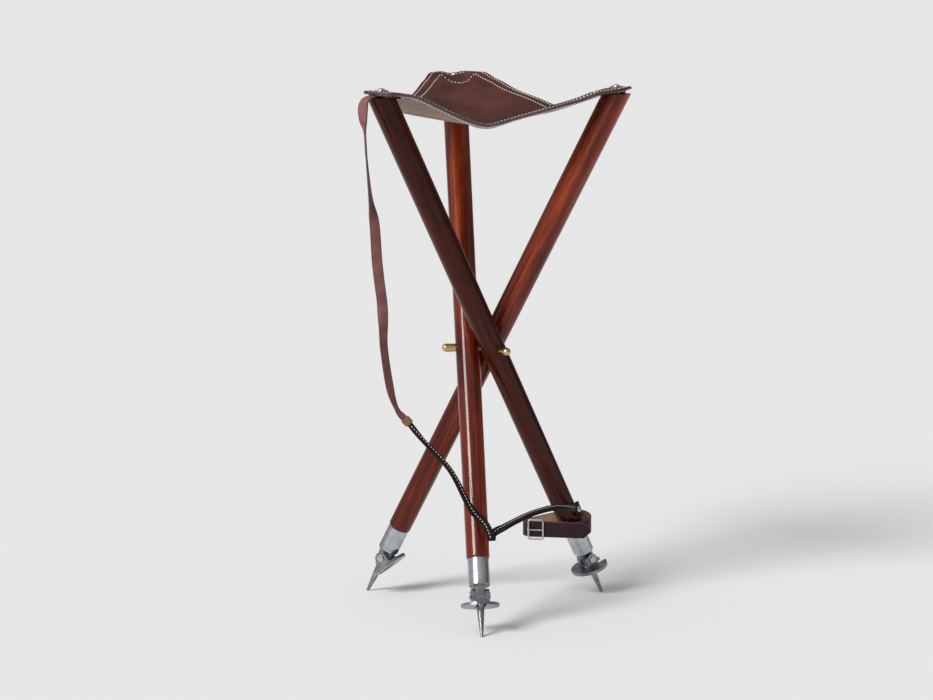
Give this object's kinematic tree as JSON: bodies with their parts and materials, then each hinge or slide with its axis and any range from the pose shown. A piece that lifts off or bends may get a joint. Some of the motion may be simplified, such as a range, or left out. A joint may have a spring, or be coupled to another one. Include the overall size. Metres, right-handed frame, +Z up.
{
  "type": "tripod hunting stool",
  "caption": "Folding tripod stool with turned wooden legs crossing at a three-way bolt, a slung leather seat, spiked plate feet, a carrying sling and a binding belt.",
  "frame": {"origin": "on the floor, under the middle of the open stool's bounding box", "axes": "+Z up, +Y toward the top of the rear leg, +X toward the right"},
  "size_m": [0.3669, 0.3885, 0.7124],
  "materials": {
    "wood": "gloss mahogany lacquer",
    "aluminium": "tumbled casting",
    "brass": "polished",
    "steel": "zinc plated",
    "hide": "waxed saddle leather",
    "patch": "suede",
    "strap": "satin",
    "belt": "satin"
  },
  "bodies": {
    "hub": {"three_way_bolt": "brass", "cap_nut_rear": "brass", "cap_nut_left": "brass", "cap_nut_right": "brass"},
    "leg_rear": {"leg_rear": "wood", "foot_rear": "aluminium", "ferrule_stud_rear": "steel", "plate_pin_rear": "steel", "seat_corner_rear": "hide", "seat_patch_rear": "patch", "seat_washer_rear": "steel", "seat_screw_rear": "steel"},
    "leg_left": {"leg_left": "wood", "foot_left": "aluminium", "ferrule_stud_left": "steel", "plate_pin_left": "steel", "seat_corner_left": "hide", "seat_patch_left": "patch", "seat_washer_left": "steel", "seat_screw_left": "steel", "sling_upper": "strap", "sling_keeper": "strap", "sling_lower": "strap", "sling_screw": "steel", "binding_belt": "belt", "buckle_frame": "steel"},
    "leg_right": {"leg_right": "wood", "foot_right": "aluminium", "ferrule_stud_right": "steel", "plate_pin_right": "steel", "seat_corner_right": "hide", "seat_patch_right": "patch", "seat_washer_right": "steel", "seat_screw_right": "steel"},
    "gore_rear_left": {"seat_gore_rear_left": "hide"},
    "gore_rear_right": {"seat_gore_rear_right": "hide"},
    "gore_left_rear": {"seat_gore_left_rear": "hide"},
    "gore_left_right": {"seat_gore_left_right": "hide"},
    "gore_right_rear": {"seat_gore_right_rear": "hide"},
    "gore_right_left": {"seat_gore_right_left": "hide"},
    "plate_rear": {"plate_rear": "aluminium"},
    "plate_left": {"plate_left": "aluminium"},
    "plate_right": {"plate_right": "aluminium"},
    "prong": {"buckle_prong": "steel"}
  },
  "joints": [
    {"name": "fold", "type": "hinge", "parent": "hub", "child": "leg_rear", "pos_m": [-0.0281, -0.006, 0.355], "axis": [1, 0, 0], "range_deg": [0, 20], "deforming": ["seat_gore_rear_left", "seat_gore_rear_right", "seat_gore_left_rear", "seat_gore_left_right", "seat_gore_right_rear", "seat_gore_right_left", "seat_corner_rear", "seat_corner_left", "seat_corner_right", "sling_upper", "sling_keeper", "sling_lower"]},
    {"name": "fold_left", "type": "hinge", "parent": "hub", "child": "leg_left", "pos_m": [0.00505, -0.02514, 0.355], "axis": [-0.5, 0.866, 0], "range_deg": [0, 20]},
    {"name": "fold_right", "type": "hinge", "parent": "hub", "child": "leg_right", "pos_m": [0.00505, 0.01314, 0.355], "axis": [-0.5, -0.866, 0], "range_deg": [0, 20]},
    {"name": "seat_rear_left", "type": "hinge", "parent": "leg_rear", "child": "gore_rear_left", "pos_m": [-0.02519, 0.15085, 0.706], "axis": [0.9624, 0.2103, 0.1718], "range_deg": [0, 43]},
    {"name": "seat_rear_right", "type": "hinge", "parent": "leg_rear", "child": "gore_rear_right", "pos_m": [-0.02519, 0.15085, 0.706], "axis": [0.5254, 0.659, 0.5382], "range_deg": [0, 64]},
    {"name": "seat_left_rear", "type": "hinge", "parent": "leg_left", "child": "gore_left_rear", "pos_m": [-0.13224, -0.10104, 0.706], "axis": [-0.8334, 0.1255, 0.5382], "range_deg": [0, 64]},
    {"name": "seat_left_right", "type": "hinge", "parent": "leg_left", "child": "gore_left_right", "pos_m": [-0.13224, -0.10104, 0.706], "axis": [-0.6634, 0.7283, 0.1718], "range_deg": [0, 43]},
    {"name": "seat_right_rear", "type": "hinge", "parent": "leg_right", "child": "gore_right_rear", "pos_m": [0.13943, -0.06781, 0.706], "axis": [-0.299, -0.9387, 0.1718], "range_deg": [0, 43]},
    {"name": "seat_right_left", "type": "hinge", "parent": "leg_right", "child": "gore_right_left", "pos_m": [0.13943, -0.06781, 0.706], "axis": [0.308, -0.7845, 0.5382], "range_deg": [0, 64]},
    {"name": "plate_rear_swing", "type": "hinge", "parent": "leg_rear", "child": "plate_rear", "pos_m": [-0.0281, -0.16593, 0.04961], "axis": [1, 0, 0], "range_deg": [-7, 62]},
    {"name": "plate_left_swing", "type": "hinge", "parent": "leg_left", "child": "plate_left", "pos_m": [0.14355, 0.05482, 0.04961], "axis": [-0.5, 0.866, 0], "range_deg": [-9, 60]},
    {"name": "plate_right_swing", "type": "hinge", "parent": "leg_right", "child": "plate_right", "pos_m": [-0.13345, 0.0931, 0.04961], "axis": [-0.5, -0.866, 0], "range_deg": [-66, 3]},
    {"name": "prong_turn", "type": "hinge", "parent": "leg_left", "child": "prong", "pos_m": [0.07864, 0.02458, 0.097], "axis": [0, 0, 1], "range_deg": [0, 75]}
  ],
  "couplings": [
    {"joint": "fold_left", "follows": "fold", "ratio": 1},
    {"joint": "fold_right", "follows": "fold", "ratio": 1},
    {"joint": "seat_rear_left", "follows": "fold", "ratio": 2.1295},
    {"joint": "seat_rear_right", "follows": "fold", "ratio": 3.1585},
    {"joint": "seat_left_rear", "follows": "fold", "ratio": 3.1585},
    {"joint": "seat_left_right", "follows": "fold", "ratio": 2.1295},
    {"joint": "seat_right_rear", "follows": "fold", "ratio": 2.1295},
    {"joint": "seat_right_left", "follows": "fold", "ratio": 3.1585}
  ]
}
